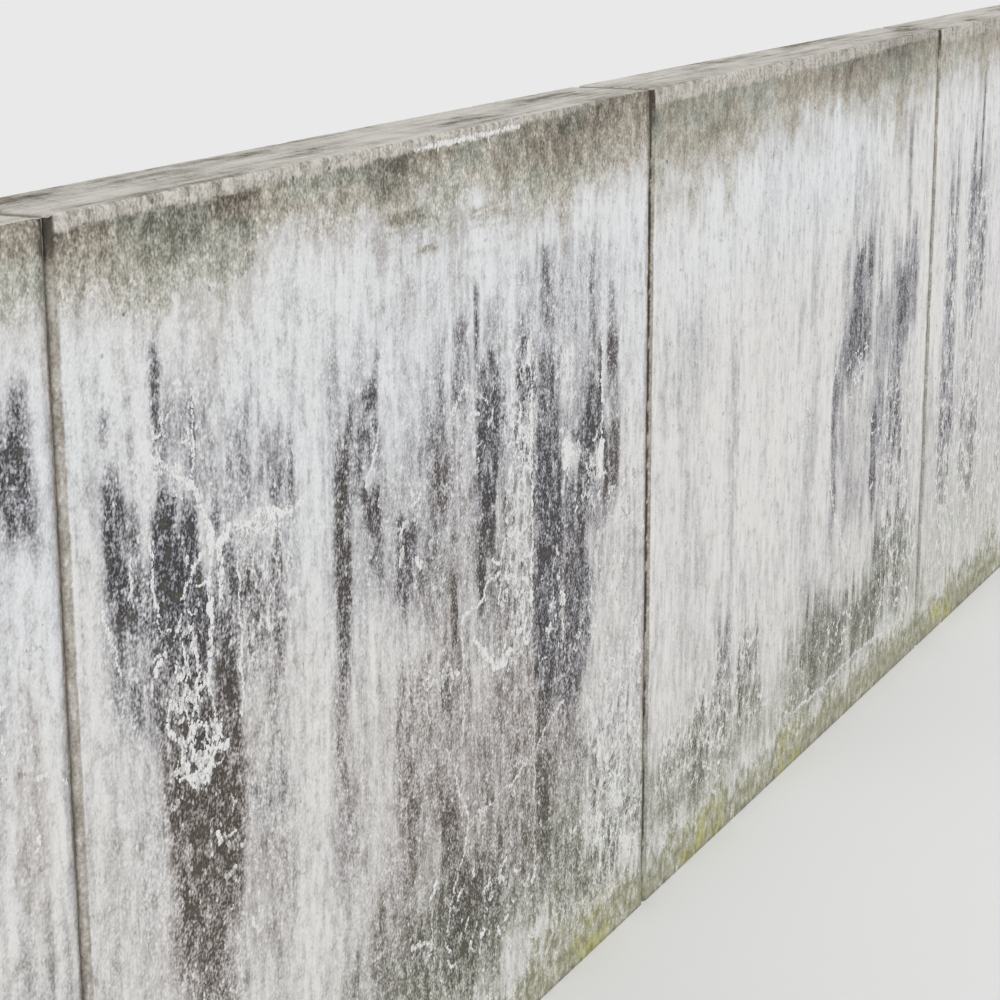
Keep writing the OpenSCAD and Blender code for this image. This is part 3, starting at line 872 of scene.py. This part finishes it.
# The veins of each road face, as (width, points as (across, down)).
VEINS = {
    "panel_3": [
        (0.008, [(0.1, 0.7), (0.11, 0.75), (0.13, 0.8), (0.14, 0.83)]),
        (0.005, [(0.18, 0.63), (0.18, 0.7)]),
        (0.007, [(0.24, 0.58), (0.25, 0.68), (0.26, 0.78), (0.28, 0.79), (0.3, 0.79)]),
        (0.006, [(0.24, 0.835), (0.28, 0.825)]),
        (0.01, [(0.26, 0.46), (0.3, 0.49), (0.35, 0.52), (0.38, 0.54), (0.41, 0.58), (0.43, 0.62),
                (0.44, 0.67)]),
        (0.013, [(0.44, 0.62), (0.435, 0.69), (0.43, 0.75), (0.43, 0.82), (0.43, 0.87), (0.415, 0.92)]),
        (0.01, [(0.415, 0.92), (0.43, 0.97), (0.43, 1.02), (0.44, 1.055)]),
        (0.01, [(0.3, 0.92), (0.28, 0.955), (0.29, 1.0), (0.315, 1.02), (0.325, 1.06), (0.35, 1.1)]),
        (0.009, [(0.34, 0.83), (0.345, 0.89), (0.33, 0.94), (0.345, 0.99), (0.34, 1.02)]),
        (0.008, [(0.37, 0.82), (0.38, 0.87), (0.375, 0.92), (0.39, 0.96)]),
        (0.013, [(0.325, 1.09), (0.36, 1.105), (0.4, 1.1), (0.435, 1.07), (0.445, 1.03)]),
        (0.009, [(0.345, 1.02), (0.37, 1.0), (0.4, 1.01), (0.415, 1.045), (0.39, 1.07), (0.355, 1.06),
                 (0.345, 1.03)]),
        (0.013, [(0.49, 0.645), (0.47, 0.705), (0.46, 0.775)]),
        (0.006, [(0.53, 0.71), (0.528, 0.79), (0.531, 0.855), (0.529, 0.94), (0.528, 1.03)]),
        (0.014, [(0.46, 0.672), (0.51, 0.651), (0.56, 0.663), (0.6, 0.647), (0.66, 0.663),
                 (0.73, 0.68)]),
        (0.007, [(0.33, 0.747), (0.37, 0.713), (0.413, 0.672)]),
        (0.006, [(0.39, 0.36), (0.396, 0.44), (0.38, 0.55)]),
        (0.005, [(1.376, 0.635), (1.42, 0.6), (1.466, 0.565), (1.52, 0.6), (1.576, 0.625)]),
        (0.008, [(1.43, 1.1), (1.5, 1.085), (1.54, 1.08), (1.57, 1.04), (1.63, 1.04), (1.625, 1.11)]),
        (0.006, [(1.63, 1.03), (1.65, 0.97), (1.72, 0.95)]),
        (0.015, [(1.5, 1.16), (1.55, 1.22), (1.6, 1.255), (1.64, 1.265), (1.7, 1.24)]),
        (0.008, [(1.7, 1.2), (1.72, 1.15), (1.76, 1.13), (1.8, 1.17), (1.79, 1.22), (1.75, 1.24)]),
        (0.008, [(1.356, 1.375), (1.416, 1.495), (1.456, 1.575), (1.466, 1.595), (1.42, 1.69),
                 (1.37, 1.755), (1.356, 1.84)]),
        (0.007, [(1.466, 1.595), (1.58, 1.59), (1.7, 1.575), (1.82, 1.54), (1.9, 1.485),
                 (1.98, 1.465)]),
        (0.005, [(1.436, 1.12), (1.44, 1.25), (1.436, 1.4)]),
        (0.005, [(1.806, 1.3), (1.81, 1.6), (1.81, 1.92)]),
        (0.01, [(2.19, 0.47), (2.2, 0.66), (2.2, 0.8), (2.19, 0.92)]),
        (0.014, [(1.68, 0.42), (1.69, 0.52), (1.7, 0.64)]),
        (0.01, [(1.78, 0.52), (1.8, 0.66), (1.79, 0.8), (1.8, 0.95), (1.79, 1.16)]),
        (0.007, [(1.09, 0.41), (1.08, 0.52), (1.07, 0.61), (1.03, 0.66), (1.01, 0.69)]),
        (0.009, [(2.1, 1.92), (2.16, 1.88), (2.19, 1.79), (2.24, 1.75), (2.28, 1.79), (2.26, 1.88),
                 (2.22, 1.93)]),
        (0.009, [(2.32, 1.84), (2.38, 1.83), (2.44, 1.85), (2.44, 1.91), (2.36, 1.92), (2.32, 1.89)]),
        (0.008, [(1.18, 1.79), (1.29, 1.83)]),
        (0.01, [(1.28, 1.74), (1.27, 1.84), (1.24, 1.86)]),
        (0.009, [(1.53, 1.8), (1.6, 1.79), (1.66, 1.76)]),
        (0.01, [(1.24, 0.026), (1.4, 0.025), (1.56, 0.024), (1.73, 0.023)]),
        (0.05, [(1.992, 0.79), (2.006, 0.83), (1.996, 0.87)]),
        (0.03, [(2.195, 0.86), (2.19, 0.94)]),
        (0.006, [(1.58, 0.026), (1.582, 0.06)]),
    ],
    "panel_4": [
        (0.009, [(1.56, 0.89), (1.46, 1.07), (1.44, 1.27), (1.52, 1.47), (1.66, 1.65)]),
        (0.008, [(1.92, 0.6), (1.93, 0.75), (1.9, 0.86)]),
        (0.01, [(1.1, 2.04), (1.4, 2.05), (1.8, 2.03), (2.3, 2.05)]),
    ],
}

# Patches of curls, as (across, down, half width, half height, number of curls).
CURLS = {
    "panel_2": [(2.25, 0.8, 0.22, 0.3, 30)],
    "panel_3": [
        (0.6, 0.665, 0.15, 0.025, 40), (0.36, 0.93, 0.08, 0.17, 60), (0.38, 1.07, 0.07, 0.05, 26),
        (1.68, 1.22, 0.1, 0.06, 30), (1.7, 1.0, 0.12, 0.14, 40), (1.3, 1.2, 0.12, 0.03, 24),
        (1.76, 0.62, 0.06, 0.22, 30), (2.32, 1.05, 0.12, 0.2, 40), (2.28, 1.45, 0.18, 0.25, 70),
        (2.26, 1.83, 0.2, 0.13, 80), (1.6, 1.85, 0.3, 0.16, 50), (0.5, 1.35, 0.1, 0.25, 16),
        (2.0, 0.83, 0.05, 0.05, 20), (2.0, 0.62, 0.04, 0.05, 10), (1.75, 0.72, 0.06, 0.1, 30),
        (2.15, 0.9, 0.08, 0.12, 30), (1.95, 1.2, 0.1, 0.2, 30), (1.5, 0.62, 0.12, 0.1, 20),
        (1.2, 0.75, 0.15, 0.2, 24), (0.3, 0.45, 0.12, 0.1, 16),
    ],
    "panel_4": [
        (1.75, 1.05, 0.15, 0.1, 40), (2.05, 1.28, 0.2, 0.2, 50), (1.6, 1.9, 0.3, 0.1, 50),
        (2.15, 1.9, 0.22, 0.12, 60), (0.5, 1.92, 0.12, 0.14, 40), (1.2, 1.0, 0.1, 0.2, 20),
    ],
    "panel_5": [(0.4, 1.6, 0.3, 0.3, 40), (0.55, 0.85, 0.15, 0.25, 30)],
}


def square_to(line):
    """The unit direction square to a line at each of its points."""
    ahead = np.gradient(line, axis=0)
    ahead /= np.maximum(1e-9, np.hypot(ahead[:, 0], ahead[:, 1]))[:, None]
    return np.stack([-ahead[:, 1], ahead[:, 0]], -1)


def lengths_along(line):
    """How far each point of a line lies from its start, measured along it."""
    return np.concatenate([[0.0], np.cumsum(np.hypot(*np.diff(line, axis=0).T))])


def wander(route, rng):
    """Points a step apart along a route, swayed sideways by three waves of random lengths. A line
    that follows the top edge is drawn straight."""
    route = np.array(route)
    sway = 0.0005 if route[:, 1].max() < 0.03 else 0.004
    ahead = lengths_along(route)
    s = np.linspace(0.0, ahead[-1], max(5, int(ahead[-1] / VEIN_STEP)))
    line = np.stack([np.interp(s, ahead, route[:, k]) for k in (0, 1)], -1)
    sideways = square_to(line)
    for length, share in ((0.110, 1.0), (0.041, 0.6), (0.017, 0.35)):
        pull = np.sin(2 * math.pi * s / (length * rng.uniform(0.8, 1.25)) + rng.uniform(0.0, 6.3))
        line = line + sideways * (sway * share * pull)[:, None]
    return line


def curl(across, down, rng):
    """A short thread that starts downwards and turns as a smooth random curve bids it."""
    count = int(rng.uniform(4, 18))
    bends = np.interp(np.arange(count), np.arange(0, 25, 4), rng.normal(0.0, 0.20, 7))
    course = rng.normal(0.0, 0.6) + np.cumsum(bends + rng.normal(0.0, 0.06))
    return np.stack([across + np.cumsum(np.sin(course)) * VEIN_STEP,
                     down + np.cumsum(np.cos(course)) * VEIN_STEP], -1)


def crumbs_along(line, width, white, rng):
    """Crumbs of lime strung along a line, a little to either side of it, closer together in some
    places than in others: their across, down, size and whiteness."""
    ahead = lengths_along(line)
    count = 2 + int(ahead[-1] / (0.30 * width))
    s = (np.arange(count) + rng.uniform(-0.3, 1.3, count)) * ahead[-1] / count
    knots = np.arange(0.0, ahead[-1] + 0.06, 0.025)
    swell = np.interp(s, knots, rng.uniform(0.55, 1.6, len(knots)))
    size = width * swell * rng.uniform(0.30, 0.66, count)
    across = np.interp(s, ahead, line[:, 0]) + rng.normal(0.0, 0.20, count) * width * swell
    down = np.interp(s, ahead, line[:, 1]) + rng.normal(0.0, 0.20, count) * width
    return np.stack([across, down, size, np.clip(white + rng.normal(0.0, 0.25, count), 0.0, 1.0)], -1)


def lime_runs(name, rng):
    """The crumbs of every vein and curl on one road face."""
    runs = []
    for width, route in VEINS.get(name, []):
        white = 0.85 if route[0][1] < 1.2 else 0.45
        runs.append(crumbs_along(wander(route, rng), 1.15 * width, white, rng))
    for across, down, half_width, half_height, number in CURLS[name]:
        for _ in range(number):
            u = across + half_width * rng.normal(0.0, 0.5)
            d = down + half_height * rng.normal(0.0, 0.5)
            white = rng.uniform(0.05, 0.95)
            runs.append(crumbs_along(curl(u, d, rng), rng.uniform(0.005, 0.013), white, rng))
    return np.concatenate(runs)


def build_crusts(name, seed):
    """All the lime on one road face as one mesh. Each crumb is a low dome: a ring of corners at
    random distances, let into the skin, with a raised middle and a sunk one behind it."""
    low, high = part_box(name)
    rng = np.random.default_rng(seed)
    crumbs = lime_runs(name, rng)
    count = len(crumbs)
    turn = rng.uniform(0.0, 6.28, (count, 1)) + np.arange(CORNERS) * 2 * math.pi / CORNERS
    reach = crumbs[:, 2:3] * rng.uniform(0.6, 1.35, (count, CORNERS))
    across = np.concatenate([crumbs[:, 0:1] + reach * np.cos(turn), crumbs[:, [0, 0]]], 1)
    down = np.concatenate([crumbs[:, 1:2] + 1.25 * reach * np.sin(turn), crumbs[:, [1, 1]]], 1)
    up = np.full(across.shape, CRUST_FOOT)
    up[:, -2] = np.minimum(CRUST_RISE, 0.25 * crumbs[:, 2])
    up[:, -1] = CRUST_ROOT
    x = low[0] + np.clip(across, *CRUST_ACROSS)
    z = high[2] - np.clip(down, *CRUST_DOWN)
    y = low[1] + skin_depth(x, z + low[1], panel_seed(name)) - up
    points = np.stack([x, np.maximum(y, low[1] + SKIN_CLEARANCE), z], -1).reshape(-1, 3)

    k = np.arange(CORNERS)
    after = (k + 1) % CORNERS
    dome = np.concatenate([np.stack([after, k, 0 * k + CORNERS], -1),
                           np.stack([k, after, 0 * k + CORNERS + 1], -1)])
    faces = ((CORNERS + 2) * np.arange(count)[:, None, None] + dome).reshape(-1, 3)
    mesh = bpy.data.meshes.new(name + "_lime")
    mesh.from_pydata(points.tolist(), [], faces.tolist())
    mesh.update()
    white = np.repeat(crumbs[:, 3], CORNERS + 2).astype(np.float32)
    mesh.attributes.new("white", "FLOAT", "POINT").data.foreach_set("value", white)
    return placed(name + "_lime", mesh)


LIME_GREY = (0.36, 0.35, 0.34, 1)
LIME_WHITE = (0.72, 0.72, 0.71, 1)


def make_lime():
    """Chalky white, greyer where the grain is low and on the crumbs that are dirty."""
    material, tree, shader = new_material("lime_crust", 0.9, 0.25)
    grain = grain_at_object(tree)[1]
    white = add(tree, "ShaderNodeAttribute", attribute_name="white").outputs["Fac"]
    patchy = weighted(tree, grain["Speckle"], 0.45, white)
    colour = mixed(tree, ramp(tree, patchy, -0.2, 0.9), LIME_GREY, LIME_WHITE)
    tree.links.new(colour, shader.inputs["Base Color"])
    return material


lime_crust = make_lime()
for name in CURLS:
    crust = build_crusts(name, 77 + PANELS.index(name))
    crust.data.materials.append(lime_crust)
    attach(crust, "root")


# The joints: a soft board stands in each gap, and a tooled bead of dark sealing compound, gone
# hard and dusty, closes it on both faces and across the top.
SEAL_DARK = (0.100, 0.092, 0.078, 1)
SEAL_DUST = (0.30, 0.28, 0.24, 1)
TOP_DUST = (0.34, 0.31, 0.26, 1)
BOARD_BROWN = (0.07, 0.058, 0.045, 1)


def make_joint_material(label, dark, dust, roughness):
    """A dark matt filling with dust caught in its grain."""
    material, tree, shader = new_material(label, roughness)
    grain = grain_at_object(tree)[1]
    colour = mixed(tree, ramp(tree, grain["Blotches"], -0.4, 1.0), dark, dust)
    tree.links.new(colour, shader.inputs["Base Color"])
    roughen(tree, shader, grain["Speckle"], 0.4, 0.0006)
    return material


FINISHES = {
    "board": make_joint_material("fibre_board", BOARD_BROWN, SEAL_DUST, 0.9),
    "top_seal": make_joint_material("dusty_joint_compound", SEAL_DUST, TOP_DUST, 0.9),
    "seal": make_joint_material("joint_compound", SEAL_DARK, SEAL_DUST, 0.8),
}
for name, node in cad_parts.items():
    if name.startswith("joint_"):
        finish = next(FINISHES[ending] for ending in FINISHES if name.endswith(ending))
        if node.material_slots:
            node.material_slots[0].material = finish
        else:
            node.data.materials.append(finish)


# The studio: a wide pale floor level with the foot of the wall, a white world that lights it
# softly from all round, and one broad soft lamp from the front left.
FLOOR_HALF = 150.0
FLOOR_GREY = (0.80, 0.80, 0.80, 1)
WORLD_LIGHT = 0.80
LAMP_POWER = 1.2
LAMP_TURN_DEG = (55.0, 0.0, -35.0)
LAMP_SPREAD_DEG = 70.0

floor_mesh = bpy.data.meshes.new("floor")
corners = [(-FLOOR_HALF, -FLOOR_HALF, 0), (FLOOR_HALF, -FLOOR_HALF, 0),
           (FLOOR_HALF, FLOOR_HALF, 0), (-FLOOR_HALF, FLOOR_HALF, 0)]
floor_mesh.from_pydata(corners, [], [(0, 1, 2, 3)])
floor_material, _, floor_shader = new_material("pale_floor", 1.0, 0.0)
floor_shader.inputs["Base Color"].default_value = FLOOR_GREY
floor_mesh.materials.append(floor_material)
placed("floor", floor_mesh)

world = bpy.data.worlds.new("studio")
world.use_nodes = True
sky = world.node_tree.nodes["Background"]
sky.inputs["Strength"].default_value = 1.0
rays = add(world.node_tree, "ShaderNodeLightPath").outputs
seen = math_node(world.node_tree, "MAXIMUM", rays["Is Camera Ray"], rays["Is Glossy Ray"])
seen = math_node(world.node_tree, "MAXIMUM", seen, rays["Is Transmission Ray"])
light_grey = (WORLD_LIGHT, WORLD_LIGHT, WORLD_LIGHT, 1)
backdrop = mixed(world.node_tree, seen, light_grey, FLOOR_GREY)
world.node_tree.links.new(backdrop, sky.inputs["Color"])
bpy.context.scene.world = world

lamp = placed("lamp", bpy.data.lights.new("lamp", "SUN"))
lamp.data.energy = LAMP_POWER
lamp.data.angle = math.radians(LAMP_SPREAD_DEG)
lamp.rotation_euler = [math.radians(turn) for turn in LAMP_TURN_DEG]
bpy.context.scene.view_settings.view_transform = "Standard"
